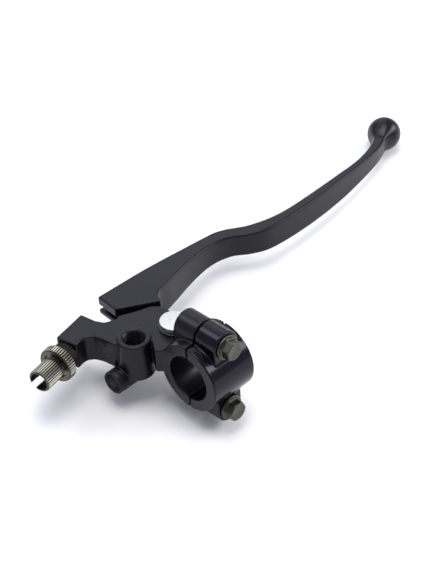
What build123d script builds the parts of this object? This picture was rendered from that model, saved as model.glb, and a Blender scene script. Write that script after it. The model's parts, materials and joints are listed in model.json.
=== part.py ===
from build123d import *
import os
from math import cos, radians, sin

# Clutch lever on its handlebar perch, for a 7/8 inch (22.2 mm) handlebar.
# Origin: centre of the handlebar clamp. +X runs along the bar towards the lever's
# ball end, +Y runs forward from the bar towards the lever, +Z is up.

# ---- handlebar clamp ----
bar_radius = 11.1
clamp_radius = 16.8
clamp_length = 24.7
clamp_gap = 1.0
bolt_height = 17.5
bolt_boss_radius = 7.2
perch_boss_depth = 11.0
cap_boss_depth = 12.6
bolt_thread_radius = 3.0
bolt_hole_radius = 3.2
flange_radius = 6.0
flange_thickness = 1.3
hex_across_flats = 8.5
hex_height = 4.2
tapped_depth = 9.0
bolt_reach = tapped_depth - 1.0

# ---- perch plate ----
plate_top = 8.4
plate_bottom = -4.2
arm_bottom = -5.3
slot_top = 5.4
slot_bottom = -1.2
fit = 0.05
face_gap = 0.3
clevis_clearance = 1.2
clevis_depth = 2.5
clevis_reach = 40.0

# ---- lever pivot ----
pivot_x = 2.2
pivot_y = 22.0
nose_radius = 9.8
eye_radius = 6.5
shoulder_radius = 4.0
bush_radius = 5.2
screw_thread_radius = 3.0
screw_head_radius = 6.8
screw_head_height = 3.0
washer_radius = 7.3
washer_thickness = 1.0
spring_washer_radius = 5.2
spring_washer_thickness = 1.2
spring_washer_split = 0.8
nut_across_flats = 10.0
nut_height = 4.8
screw_overhang = 1.0

# ---- mirror boss ----
mirror_x = -15.35
mirror_y = 30.2
mirror_top = 8.94
mirror_bottom = -9.66
mirror_top_radius = 7.6
mirror_bottom_radius = 8.8
mirror_thread_radius = 5.0
mirror_thread_depth = 13.0

# ---- cable adjuster ----
adjuster_angle = 11.4
block_face_x = -36.6
block_face_y = 51.9
block_half_width = 5.5
block_length = 18.7
adjuster_height = 0.7
adjuster_reach = 21.3
barrel_radius = 5.5
barrel_end = -adjuster_reach
barrel_length = 11.0
barrel_slot_width = 3.0
barrel_slot_depth = 10.0
barrel_slot_turn = 46
barrel_mouth_radius = 4.5
barrel_mouth_depth = 3.0
adjuster_thread_radius = 4.0
tapped_hole_length = 22.0
thread_length = 23.0
casing_radius = 3.05
casing_depth = 10.0
wire_radius = 1.3
dust_washer_radius = 6.7
dust_washer_thickness = 4.7
ring_radius = 8.7
ring_length = 4.6
ring_start = -dust_washer_thickness - ring_length
ring_recess_radius = 6.2
ring_recess_depth = 1.2

# ---- clutch switch ----
switch_y = 32.0
switch_z = -10.2
switch_left = -29.0
switch_right = 1.5
switch_flange_radius = 5.6
switch_flange_length = 3.0
switch_dish_radius = 4.6
switch_dish_depth = 0.5
switch_body_radius = 4.3
switch_wall = 0.9
chamber_left = -16.0
chamber_right = switch_right - 1.5
sleeve_radius = 5.7
sleeve_right = -2.5
plunger_radius = 1.6
plunger_tip_x = 6.2
plunger_head_radius = 2.9
plunger_head_x = -5.5
plunger_head_length = 2.2
bridge_thickness = 0.6
bridge_overlap = 0.7
switch_spring_radius = 1.2
switch_spring_wire = 0.18
switch_spring_turns = 7
spring_left = chamber_left + face_gap
spring_length = plunger_head_x - bridge_thickness - face_gap - spring_left
seal_radius = 2.2
seal_section = 0.5
terminal_spacing = 4.0
terminal_left = -26.4
terminal_right = -7.9
terminal_width = 2.8
terminal_thickness = 0.8

# ---- lever ----
lever_middle = 1.6
hood_top = 9.1
root_bottom = -6.8
tongue_top = 5.1
tongue_bottom = -0.9
cable_slot_top = 4.3
cable_slot_bottom = 1.7
cable_plate_bottom = -1.2
nipple_x = 0.2
nipple_y = 58.4
nipple_radius = 4.0
ball_x = 188.5
ball_y = 56.8
ball_radius = 8.6
lug_radius = 3.0
lug_bottom = -13.6
lug_x = 9.7

os.makedirs("parts", exist_ok=True)


def save(piece, label):
    piece.label = label
    export_step(piece, f"parts/{label}.step")


def ray(distance, angle):
    """A step of the given length at an angle in the plan."""
    return distance * cos(radians(angle)), distance * sin(radians(angle))


across_x, across_y = ray(1, adjuster_angle)
adjuster_axis = Vector(across_x, across_y, 0)
block_face = Vector(block_face_x, block_face_y, adjuster_height)


def adjuster_plane(distance):
    """The plane across the cable's line, at a distance outboard of the block's face."""
    return Plane(origin=block_face + adjuster_axis * distance, x_dir=(0, 0, 1), z_dir=adjuster_axis)


def switch_plane(x):
    return Plane(origin=(x, switch_y, switch_z), x_dir=(0, 1, 0), z_dir=(1, 0, 0))


def bolt_plane(y, height):
    return Plane(origin=(0, y, height), x_dir=(1, 0, 0), z_dir=(0, -1, 0))


# ---- perch: half of the clamp, the pivot plates, the mirror boss and the cable block ----
block_side_x, block_side_y = ray(block_half_width, adjuster_angle + 90)
block_length_x, block_length_y = ray(block_length, adjuster_angle)
block_near = (block_face_x - block_side_x, block_face_y - block_side_y)
block_far = (block_face_x + block_side_x, block_face_y + block_side_y)
block_end = (block_far[0] + block_length_x, block_far[1] + block_length_y)
plate_outline = [
    block_far, block_end, (-18.1, 52.6), (-16.2, 48.6), (-11.0, 46.4), (-8.6, 47.3),
    (-1.8, 43.8), (5.3, 41.2), (8.3, 38.0), (9.0, 33.6), (8.7, 29.4), (11.4, 25.4), (12.0, 22.0),
    (12.0, 10.0), (-12.3, 10.0), (-13.0, 14.9), (-15.2, 17.3), (-10.2, 24.9), (-15.4, 30.2),
    (-24.1, 33.9), (-25.0, 41.1), (-26.6, 45.3), (-29.3, 47.4), (-31.6, 47.5), block_near,
]
with BuildPart() as perch:
    with BuildSketch(Plane.XY.offset(plate_bottom)):
        with BuildLine():
            Polyline(*plate_outline, close=True)
        make_face()
    extrude(amount=plate_top - plate_bottom)
    with BuildSketch(Plane.XY.offset(arm_bottom)):
        with BuildLine():
            Polyline(*plate_outline[:4], *plate_outline[-7:], close=True)
        make_face()
    extrude(amount=plate_bottom - arm_bottom)
    with BuildSketch(Plane.XY.offset(mirror_bottom)):
        with Locations((mirror_x, mirror_y)):
            Circle(mirror_bottom_radius)
    with BuildSketch(Plane.XY.offset(mirror_top)):
        with Locations((mirror_x, mirror_y)):
            Circle(mirror_top_radius)
    loft()
    with BuildSketch(switch_plane(switch_left + switch_flange_length)):
        Circle(sleeve_radius)
    extrude(amount=sleeve_right - switch_left - switch_flange_length)
    with BuildSketch(Plane.YZ.offset(-clamp_length / 2)):
        Circle(clamp_radius)
    extrude(amount=clamp_length)
    for height in (bolt_height, -bolt_height):
        with BuildSketch(bolt_plane(perch_boss_depth, height)):
            Circle(bolt_boss_radius)
            with Locations((0, -height / 4)):
                Rectangle(2 * bolt_boss_radius, abs(height) / 2)
        extrude(amount=perch_boss_depth)
    with Locations((0, -clamp_radius * 2 + clamp_gap / 2, 0)):
        Box(4 * clamp_radius, 4 * clamp_radius, 6 * clamp_radius, mode=Mode.SUBTRACT)
    with BuildSketch(Plane.YZ.offset(-clamp_length)):
        Circle(bar_radius)
    extrude(amount=2 * clamp_length, mode=Mode.SUBTRACT)
    for height in (bolt_height, -bolt_height):
        with BuildSketch(bolt_plane(tapped_depth, height)):
            Circle(bolt_thread_radius + fit)
        extrude(amount=tapped_depth, mode=Mode.SUBTRACT)
    with BuildSketch(Plane.XY.offset(slot_bottom)):
        with Locations((pivot_x, pivot_y)):
            Circle(eye_radius + clevis_clearance)
        with BuildLine():
            Polyline(
                (pivot_x - eye_radius - clevis_clearance, pivot_y), (-7.8, 56.0), (clevis_reach, 56.0),
                (clevis_reach, pivot_y - clevis_depth), (pivot_x, pivot_y - clevis_depth), close=True,
            )
        make_face()
    extrude(amount=slot_top - slot_bottom, mode=Mode.SUBTRACT)
    with BuildSketch(Plane.XY.offset(slot_bottom)):
        with Locations((pivot_x, pivot_y)):
            Circle(shoulder_radius + fit)
    extrude(amount=plate_top - slot_bottom, mode=Mode.SUBTRACT)
    with BuildSketch(Plane.XY.offset(plate_bottom)):
        with Locations((pivot_x, pivot_y)):
            Circle(screw_thread_radius + fit)
    extrude(amount=slot_bottom - plate_bottom, mode=Mode.SUBTRACT)
    with BuildSketch(Plane.XY.offset(mirror_top)):
        with Locations((mirror_x, mirror_y)):
            Circle(mirror_thread_radius)
    extrude(amount=-mirror_thread_depth, mode=Mode.SUBTRACT)
    with BuildSketch(adjuster_plane(-1)):
        Circle(adjuster_thread_radius + fit)
    extrude(amount=tapped_hole_length, mode=Mode.SUBTRACT)
    with BuildSketch(switch_plane(switch_left)):
        Circle(switch_body_radius + fit)
    extrude(amount=2 * (switch_right - switch_left), mode=Mode.SUBTRACT)
save(perch.part, "perch")

# ---- clamp cap ----
with BuildPart() as clamp_cap:
    with BuildSketch(Plane.YZ.offset(-clamp_length / 2)):
        Circle(clamp_radius)
    extrude(amount=clamp_length)
    for height in (bolt_height, -bolt_height):
        with BuildSketch(bolt_plane(0, height)):
            Circle(bolt_boss_radius)
            with Locations((0, -height / 4)):
                Rectangle(2 * bolt_boss_radius, abs(height) / 2)
        extrude(amount=cap_boss_depth)
    with Locations((0, 2 * clamp_radius - clamp_gap / 2, 0)):
        Box(4 * clamp_radius, 4 * clamp_radius, 6 * clamp_radius, mode=Mode.SUBTRACT)
    with BuildSketch(Plane.YZ.offset(-clamp_length)):
        Circle(bar_radius)
    extrude(amount=2 * clamp_length, mode=Mode.SUBTRACT)
    for height in (bolt_height, -bolt_height):
        with BuildSketch(bolt_plane(0, height)):
            Circle(bolt_hole_radius)
        extrude(amount=cap_boss_depth, mode=Mode.SUBTRACT)
save(clamp_cap.part, "clamp_cap")

# ---- clamp bolts: M6 hexagon flange bolts ----
for label, height in (("upper_clamp_bolt", bolt_height), ("lower_clamp_bolt", -bolt_height)):
    with BuildPart() as clamp_bolt:
        with BuildSketch(bolt_plane(bolt_reach, height)):
            Circle(bolt_thread_radius)
        extrude(amount=bolt_reach + cap_boss_depth)
        with BuildSketch(bolt_plane(-cap_boss_depth, height)):
            Circle(flange_radius)
        extrude(amount=flange_thickness)
        with BuildSketch(bolt_plane(-cap_boss_depth - flange_thickness, height)):
            RegularPolygon(hex_across_flats / 2, 6, major_radius=False)
        extrude(amount=hex_height)
    save(clamp_bolt.part, label)

# ---- lever: blade, hood, cable end and pivot tongue in one casting ----
outer_edge = [
    (-6.1, 63.8), (25.7, 62.4), (56.6, 60.4), (68.3, 57.9), (80.4, 50.2),
    (96.1, 45.4), (117.0, 44.8), (140.4, 45.7), (157.4, 47.6), (171.0, 51.6), (182.0, 57.4),
]
inner_edge = [
    (186.0, 52.4), (173.1, 46.5), (153.0, 42.4), (127.1, 39.6), (104.5, 38.9), (84.5, 40.2),
    (74.8, 44.3), (66.8, 50.0), (55.5, 52.5), (40.8, 51.0), (24.0, 47.2), (14.0, 44.8), (10.6, 39.5),
]
side_top = [
    (-8.0, hood_top), (24.0, hood_top), (60.0, 7.8), (100.0, 8.4), (135.0, 8.1), (175.0, 6.0), (190.0, 5.6),
]
with BuildPart() as lever:
    with BuildSketch(Plane.XY.offset(root_bottom)):
        with BuildLine():
            Line(outer_edge[0], outer_edge[1])
            Spline(*outer_edge[1:], tangents=[(1, -0.05), (0.87, 0.5)])
            Line(outer_edge[-1], inner_edge[0])
            Spline(*inner_edge[:-2], tangents=[(-0.87, -0.5), (-1, -0.15)])
            Polyline(inner_edge[-3], inner_edge[-2], inner_edge[-1], (-7.3, 51.1), outer_edge[0])
        make_face()
    extrude(amount=hood_top - root_bottom)
    with BuildSketch(Plane.XZ.offset(-80)):
        with BuildLine():
            Spline(*side_top[1:])
            Line(side_top[-1], (side_top[-1][0], 2 * lever_middle - side_top[-1][1]))
            Spline(*[(x, 2 * lever_middle - z) for x, z in reversed(side_top[2:])], (24.0, root_bottom))
            Polyline((24.0, root_bottom), (11.0, root_bottom), (5.4, cable_plate_bottom),
                     (-8.0, cable_plate_bottom), side_top[0], side_top[1])
        make_face()
    extrude(amount=120, mode=Mode.INTERSECT)
    with Locations((ball_x, ball_y, lever_middle)):
        Sphere(ball_radius)
    with BuildSketch(Plane.XY.offset(tongue_bottom)):
        with Locations((pivot_x, pivot_y)):
            Circle(eye_radius)
        with BuildLine():
            Polyline((pivot_x - eye_radius, pivot_y), (-1.8, 49.0), (12.6, 46.0), (9.6, 39.0),
                     (pivot_x + eye_radius, pivot_y), close=True)
        make_face()
    extrude(amount=tongue_top - tongue_bottom)
    with BuildSketch(Plane.XY.offset(lug_bottom)):
        with Locations((lug_x, switch_y)):
            Circle(lug_radius)
    extrude(amount=plate_bottom - face_gap - lug_bottom)
    with BuildSketch(Plane.XY.offset(plate_bottom - face_gap)):
        with BuildLine():
            Polyline((lug_x - lug_radius, switch_y), (lug_x - lug_radius, 44.0), (16.0, 45.0),
                     (16.0, 40.0), (lug_x + lug_radius, switch_y), close=True)
        make_face()
        with Locations((lug_x, switch_y)):
            Circle(lug_radius)
    extrude(amount=root_bottom - plate_bottom + face_gap)
    with BuildSketch(Plane.XY.offset(tongue_bottom)):
        with Locations((pivot_x, pivot_y)):
            Circle(bush_radius)
    extrude(amount=tongue_top - tongue_bottom, mode=Mode.SUBTRACT)
    with BuildSketch(Plane.XY.offset(cable_slot_bottom)):
        with BuildLine():
            Polyline((-12.0, 48.0), (-12.0, 66.0), (nipple_x, 66.0), (nipple_x + 4.5, nipple_y),
                     (nipple_x, 52.4), (-7.3, 53.0), close=True)
        make_face()
    extrude(amount=cable_slot_top - cable_slot_bottom, mode=Mode.SUBTRACT)
    with BuildSketch(Plane.XY.offset(cable_plate_bottom - 1)):
        with Locations((nipple_x, nipple_y)):
            Circle(nipple_radius)
    extrude(amount=cable_slot_top - cable_plate_bottom + 1, mode=Mode.SUBTRACT)
save(lever.part, "lever")

# ---- pivot: bush, shouldered screw, washer, spring washer and nut ----
with BuildPart() as pivot_bush:
    with BuildSketch(Plane.XY.offset(tongue_bottom)):
        with Locations((pivot_x, pivot_y)):
            Circle(bush_radius)
            Circle(shoulder_radius + fit, mode=Mode.SUBTRACT)
    extrude(amount=tongue_top - tongue_bottom)
save(pivot_bush.part, "pivot_bush")

with BuildPart() as pivot_washer:
    with BuildSketch(Plane.XY.offset(plate_top)):
        with Locations((pivot_x, pivot_y)):
            Circle(washer_radius)
            Circle(shoulder_radius + fit, mode=Mode.SUBTRACT)
    extrude(amount=washer_thickness)
save(pivot_washer.part, "pivot_washer")

screw_bottom = plate_bottom - spring_washer_thickness - nut_height - screw_overhang
with BuildPart() as pivot_screw:
    with BuildSketch(Plane.XY.offset(screw_bottom)):
        with Locations((pivot_x, pivot_y)):
            Circle(screw_thread_radius)
    extrude(amount=slot_bottom - screw_bottom)
    with BuildSketch(Plane.XY.offset(slot_bottom)):
        with Locations((pivot_x, pivot_y)):
            Circle(shoulder_radius)
    extrude(amount=plate_top + washer_thickness - slot_bottom)
    with BuildSketch(Plane.XY.offset(plate_top + washer_thickness)):
        with Locations((pivot_x, pivot_y)):
            Circle(screw_head_radius)
    extrude(amount=screw_head_height)
save(pivot_screw.part, "pivot_screw")

with BuildPart() as pivot_spring_washer:
    with BuildSketch(Plane.XY.offset(plate_bottom - spring_washer_thickness)):
        with Locations((pivot_x, pivot_y)):
            Circle(spring_washer_radius)
            Circle(screw_thread_radius + fit, mode=Mode.SUBTRACT)
            with Locations((spring_washer_radius, 0)):
                Rectangle(2 * spring_washer_radius, spring_washer_split, mode=Mode.SUBTRACT)
    extrude(amount=spring_washer_thickness)
save(pivot_spring_washer.part, "pivot_spring_washer")

with BuildPart() as pivot_nut:
    with BuildSketch(Plane.XY.offset(plate_bottom - spring_washer_thickness - nut_height)):
        with Locations((pivot_x, pivot_y)):
            RegularPolygon(nut_across_flats / 2, 6, major_radius=False)
            Circle(screw_thread_radius + fit, mode=Mode.SUBTRACT)
    extrude(amount=nut_height)
save(pivot_nut.part, "pivot_nut")

# ---- cable adjuster: barrel, lock ring and dust washer ----
with BuildPart() as adjuster_barrel:
    with BuildSketch(adjuster_plane(barrel_end)):
        Circle(barrel_radius)
    extrude(amount=barrel_length)
    with BuildSketch(adjuster_plane(barrel_end + barrel_length)):
        Circle(adjuster_thread_radius)
    extrude(amount=thread_length)
    with BuildSketch(adjuster_plane(barrel_end).rotated((0, 0, barrel_slot_turn))):
        with Locations((-barrel_radius, 0)):
            Rectangle(2 * barrel_radius, barrel_slot_width)
    extrude(amount=barrel_slot_depth, mode=Mode.SUBTRACT)
    with BuildSketch(adjuster_plane(barrel_end)):
        Circle(barrel_mouth_radius)
    extrude(amount=barrel_mouth_depth, mode=Mode.SUBTRACT)
    with BuildSketch(adjuster_plane(barrel_end)):
        Circle(casing_radius)
    extrude(amount=casing_depth, mode=Mode.SUBTRACT)
    with BuildSketch(adjuster_plane(barrel_end)):
        Circle(wire_radius)
    extrude(amount=barrel_length + thread_length, mode=Mode.SUBTRACT)
save(adjuster_barrel.part, "adjuster_barrel")

with BuildPart() as adjuster_lock_ring:
    with BuildSketch(adjuster_plane(ring_start)):
        Circle(ring_radius)
        Circle(adjuster_thread_radius + fit, mode=Mode.SUBTRACT)
    extrude(amount=ring_length)
    with BuildSketch(adjuster_plane(ring_start)):
        Circle(ring_recess_radius)
    extrude(amount=ring_recess_depth, mode=Mode.SUBTRACT)
save(adjuster_lock_ring.part, "adjuster_lock_ring")

with BuildPart() as adjuster_dust_washer:
    with BuildSketch(adjuster_plane(-dust_washer_thickness)):
        Circle(dust_washer_radius)
        Circle(adjuster_thread_radius + fit, mode=Mode.SUBTRACT)
    extrude(amount=dust_washer_thickness)
save(adjuster_dust_washer.part, "adjuster_dust_washer")

# ---- clutch switch: housing, terminals, contact bridge, spring, plunger and seal ----
with BuildPart() as switch_housing:
    with BuildSketch(switch_plane(switch_left)):
        Circle(switch_flange_radius)
    extrude(amount=switch_flange_length)
    with BuildSketch(switch_plane(switch_left + switch_flange_length)):
        Circle(switch_body_radius)
    extrude(amount=switch_right - switch_left - switch_flange_length)
    with BuildSketch(switch_plane(switch_left)):
        Circle(switch_dish_radius)
    extrude(amount=switch_dish_depth, mode=Mode.SUBTRACT)
    with BuildSketch(switch_plane(chamber_left)):
        Circle(switch_body_radius - switch_wall)
    extrude(amount=chamber_right - chamber_left, mode=Mode.SUBTRACT)
    with BuildSketch(switch_plane(chamber_right)):
        Circle(plunger_radius + fit)
    extrude(amount=switch_right - chamber_right, mode=Mode.SUBTRACT)
    for offset_y in (-terminal_spacing / 2, terminal_spacing / 2):
        with BuildSketch(switch_plane(terminal_left)):
            with Locations((offset_y, 0)):
                Rectangle(terminal_thickness, terminal_width)
        extrude(amount=chamber_left - terminal_left, mode=Mode.SUBTRACT)
    with BuildSketch(switch_plane(chamber_right)):
        Circle(seal_radius + seal_section + fit)
    extrude(amount=2 * seal_section + fit, mode=Mode.SUBTRACT)
save(switch_housing.part, "switch_housing")

with BuildPart() as switch_seal:
    with BuildSketch(Plane.XZ.offset(-switch_y)):
        with Locations((chamber_right + seal_section + fit, switch_z + seal_radius)):
            Circle(seal_section)
    revolve(axis=Axis((0, switch_y, switch_z), (1, 0, 0)))
save(switch_seal.part, "switch_seal")

for label, side in (("switch_terminal_rear", -1), ("switch_terminal_front", 1)):
    with BuildPart() as switch_terminal:
        with BuildSketch(switch_plane(terminal_left)):
            with Locations((side * terminal_spacing / 2, 0)):
                Rectangle(terminal_thickness, terminal_width)
        extrude(amount=terminal_right - terminal_left)
    save(switch_terminal.part, label)

with BuildPart() as switch_plunger:
    with BuildSketch(switch_plane(plunger_head_x)):
        Circle(plunger_head_radius)
    extrude(amount=plunger_head_length)
    with BuildSketch(switch_plane(plunger_head_x)):
        Circle(plunger_radius)
    extrude(amount=plunger_tip_x - plunger_head_x)
save(switch_plunger.part, "switch_plunger")

with BuildPart() as switch_contact_bridge:
    with BuildSketch(switch_plane(plunger_head_x - bridge_thickness)):
        Rectangle(terminal_spacing + 2 * bridge_overlap, terminal_width)
    extrude(amount=bridge_thickness)
save(switch_contact_bridge.part, "switch_contact_bridge")

with BuildPart() as switch_return_spring:
    with BuildLine() as coil:
        Helix(pitch=spring_length / switch_spring_turns, height=spring_length, radius=switch_spring_radius,
              center=(spring_left, switch_y, switch_z), direction=(1, 0, 0))
    with BuildSketch(Plane(origin=coil.line @ 0, z_dir=coil.line % 0)):
        Circle(switch_spring_wire)
    sweep()
save(switch_return_spring.part, "switch_return_spring")
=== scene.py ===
import json
from itertools import product
from math import cos, pi, radians, sin, tau

import bpy
import numpy as np
from mathutils import Matrix, Vector


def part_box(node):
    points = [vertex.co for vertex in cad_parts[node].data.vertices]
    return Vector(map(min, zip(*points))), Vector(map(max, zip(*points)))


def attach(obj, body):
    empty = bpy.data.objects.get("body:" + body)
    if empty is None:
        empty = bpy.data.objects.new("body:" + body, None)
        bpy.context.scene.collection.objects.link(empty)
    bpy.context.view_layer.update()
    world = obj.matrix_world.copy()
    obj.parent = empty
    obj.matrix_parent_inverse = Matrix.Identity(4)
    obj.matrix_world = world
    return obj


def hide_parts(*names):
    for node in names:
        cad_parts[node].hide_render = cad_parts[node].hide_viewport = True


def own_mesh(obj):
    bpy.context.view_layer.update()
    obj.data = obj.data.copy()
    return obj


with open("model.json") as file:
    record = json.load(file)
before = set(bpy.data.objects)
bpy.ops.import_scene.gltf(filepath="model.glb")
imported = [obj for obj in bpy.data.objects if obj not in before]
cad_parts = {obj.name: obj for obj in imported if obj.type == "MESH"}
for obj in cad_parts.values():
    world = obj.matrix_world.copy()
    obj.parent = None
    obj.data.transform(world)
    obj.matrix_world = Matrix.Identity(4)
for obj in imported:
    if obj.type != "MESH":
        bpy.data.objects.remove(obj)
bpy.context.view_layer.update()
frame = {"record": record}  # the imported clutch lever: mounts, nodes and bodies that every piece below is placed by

# ---------------------------------------------------------------------------
# Sizes, in millimetres. The frame gives the places, and these give the shapes.
# ---------------------------------------------------------------------------
MM = 0.001
mounts = {mount["name"]: mount for mount in frame["record"]["mounts"]}


def corners(node):
    """Lowest and highest corner of a CAD node, in millimetres."""
    low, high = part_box(node)
    return np.array(low) / MM, np.array(high) / MM


def middle(node):
    low, high = corners(node)
    return (low + high) / 2


def mount_place(name):
    return np.array(mounts[name]["pos_m"]) / MM


def mount_axis(name):
    axis = np.array(mounts[name]["axis"], float)
    return axis / np.linalg.norm(axis)


bar_radius = mounts["handlebar_clamp"]["dims"]["r_mm"]
clamp_half = mounts["handlebar_clamp"]["dims"]["length_mm"] / 2
clamp_radius = 16.8
half_gap = 0.5
bolt_height = middle("upper_clamp_bolt")[2]
bolt_boss_radius = 7.2
perch_boss_front = corners("upper_clamp_bolt")[1][1] + 4.7
hex_flats = 8.5
hex_height = 4.2
flange_radius = 6.0
flange_thickness = 1.3
cap_boss_front = corners("upper_clamp_bolt")[0][1] + hex_height + flange_thickness

plate_bottom = -4.2
arm_bottom = -5.3
plate_top = 8.4
slot_bottom = -1.2
slot_top = 5.4
pivot = middle("pivot_screw")[:2]
eye_radius = 6.5
shoulder_radius = 4.0
thread_radius = 3.0

mirror = mount_place("mirror_thread")[:2]
mirror_radius = mounts["mirror_thread"]["dims"]["r_mm"]
mirror_depth = mounts["mirror_thread"]["dims"]["length_mm"]
mirror_bottom, mirror_top = -9.66, 8.94
mirror_foot_radius, mirror_rim_radius = 8.8, 7.6

cable_out = mount_axis("cable_casing_seat")
cable_in = -cable_out
casing_radius = mounts["cable_casing_seat"]["dims"]["r_mm"]
casing_depth = mounts["cable_casing_seat"]["dims"]["length_mm"]
mouth_radius = 4.5
mouth_depth = 3.0
barrel_mouth = mount_place("cable_casing_seat") + cable_out * (casing_depth / 2 + mouth_depth)
adjuster_reach = 21.3
block_face = barrel_mouth + cable_in * adjuster_reach
block_half_width = 5.5
block_length = 18.7
barrel_radius = 5.5
barrel_length = 11.0
barrel_knurl = 0.55
barrel_slot = (3.0, 10.0)
adjuster_thread = 4.0
thread_length = 23.0
ring_radius = 8.7
ring_length = 4.6
ring_knurl = 0.6
ring_recess = (6.2, 1.2)
dust_radius = 6.7
dust_length = 4.7
wire_radius = 1.3

switch = middle("switch_housing")
switch_low, switch_high = corners("switch_housing")
switch_body = 4.3
switch_flange = 3.0
sleeve_radius = 5.7
sleeve_end = -2.5

lever_middle = 1.6
hood_top = 9.1
root_bottom = -6.8
tongue_bottom, tongue_top = -0.9, 5.1
cable_plate_bottom, cable_slot_bottom, cable_slot_top = -1.2, 1.7, 4.3
nipple = mount_place("cable_nipple_pocket")
nipple_radius = mounts["cable_nipple_pocket"]["dims"]["r_mm"]
ball_radius = 8.6
ball = np.array([corners("lever")[1][0] - ball_radius, 56.8, lever_middle])
lug = np.array([9.7, switch[1]])
lug_radius = 3.0
lug_bottom = corners("lever")[0][2]

CELL = 0.4


# ---------------------------------------------------------------------------
# Distance shapes: each tells how far points lie outside it, negative inside.
# Castings are joined from them with fillets, as a pattern maker builds them up.
# ---------------------------------------------------------------------------
def shared(a, b, edge):
    """What two shapes have in common, with their meeting edge rounded."""
    return np.minimum(np.maximum(a, b), -edge) + np.hypot(np.maximum(a + edge, 0), np.maximum(b + edge, 0))


def joined(a, b, fillet):
    """Two shapes as one, with a fillet where they meet."""
    return np.maximum(np.minimum(a, b), fillet) - np.hypot(np.maximum(fillet - a, 0), np.maximum(fillet - b, 0))


def cut(a, b, edge):
    """The first shape with the second taken out of it."""
    return shared(a, -b, edge)


def between(values, low, high):
    return np.maximum(low - values, values - high)


def rod(p, centre, axis, radius, start, end, edge=0.5, taper=0.0):
    """A round bar between two distances along its axis; taper is how much it widens per millimetre."""
    offset = p - np.array(centre, float)
    along = offset @ np.array(axis, float)
    across = np.linalg.norm(offset - np.outer(along, axis), axis=1)
    side = (across - radius - taper * (along - start)) / np.hypot(1, taper)
    return shared(side, between(along, start, end), edge)


def block(p, low, high, edge=0.0):
    sides = [between(p[:, i], low[i], high[i]) for i in range(3)]
    return shared(shared(sides[0], sides[1], edge), sides[2], edge)


def outline_distance(p, outline):
    """How far the points' plan lies outside a closed outline."""
    x, y = p[:, 0], p[:, 1]
    nearest = np.full(len(p), np.inf)
    inside = np.zeros(len(p), bool)
    for (ax, ay), (bx, by) in zip(outline, np.roll(outline, -1, axis=0)):
        ex, ey = bx - ax, by - ay
        t = np.clip(((x - ax) * ex + (y - ay) * ey) / (ex * ex + ey * ey), 0, 1)
        nearest = np.minimum(nearest, (x - ax - ex * t) ** 2 + (y - ay - ey * t) ** 2)
        if ey:
            inside ^= ((ay > y) != (by > y)) & (x < ex * (y - ay) / ey + ax)
    return np.where(inside, -1, 1) * np.sqrt(nearest)


def plate(p, outline, bottom, top, edge=0.8):
    return shared(outline_distance(p, outline), between(p[:, 2], bottom, top), edge)


def with_round_corners(outline, radius, steps=5):
    """An outline whose corners are rounded, by less where its runs are short."""
    outline = np.array(outline, float)
    found = []
    for before, corner, after in zip(np.roll(outline, 1, 0), outline, np.roll(outline, -1, 0)):
        reach = min(radius, *(0.45 * np.linalg.norm(end - corner) for end in (before, after)))
        start, end = (corner + (far - corner) / np.linalg.norm(far - corner) * reach for far in (before, after))
        for t in np.linspace(0, 1, steps):
            found.append((1 - t) ** 2 * start + 2 * t * (1 - t) * corner + t * t * end)
    return np.array(found)


def smooth_line(points, steps=6):
    """A smooth line through points, each span a cubic."""
    points = np.array(points, float)
    slopes = np.gradient(points, axis=0)
    found = [points[:1]]
    for i in range(len(points) - 1):
        t = np.linspace(0, 1, steps + 1)[1:, None]
        a, b = points[i], points[i + 1]
        found.append((2 * t**3 - 3 * t**2 + 1) * a + (t**3 - 2 * t**2 + t) * slopes[i]
                     + (3 * t**2 - 2 * t**3) * b + (t**3 - t**2) * slopes[i + 1])
    return np.concatenate(found)


# ---------------------------------------------------------------------------
# From shapes to meshes
# ---------------------------------------------------------------------------
BLOCK = 4


def settled(points, distance, step=0.03):
    """Points moved onto the surface along the distance's slope."""
    here = distance(points)
    slope = np.stack([distance(points + s) - distance(points - s) for s in np.eye(3) * step], 1) / (2 * step)
    return points - slope * (here / np.maximum((slope**2).sum(1), 0.3))[:, None]


def add_object(name, mesh):
    piece = bpy.data.objects.new(name, mesh)
    bpy.context.scene.collection.objects.link(piece)
    return piece


def shaded(piece, degrees=50):
    piece.data.shade_smooth()
    piece.data.set_sharp_from_angle(angle=radians(degrees))
    return piece


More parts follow.
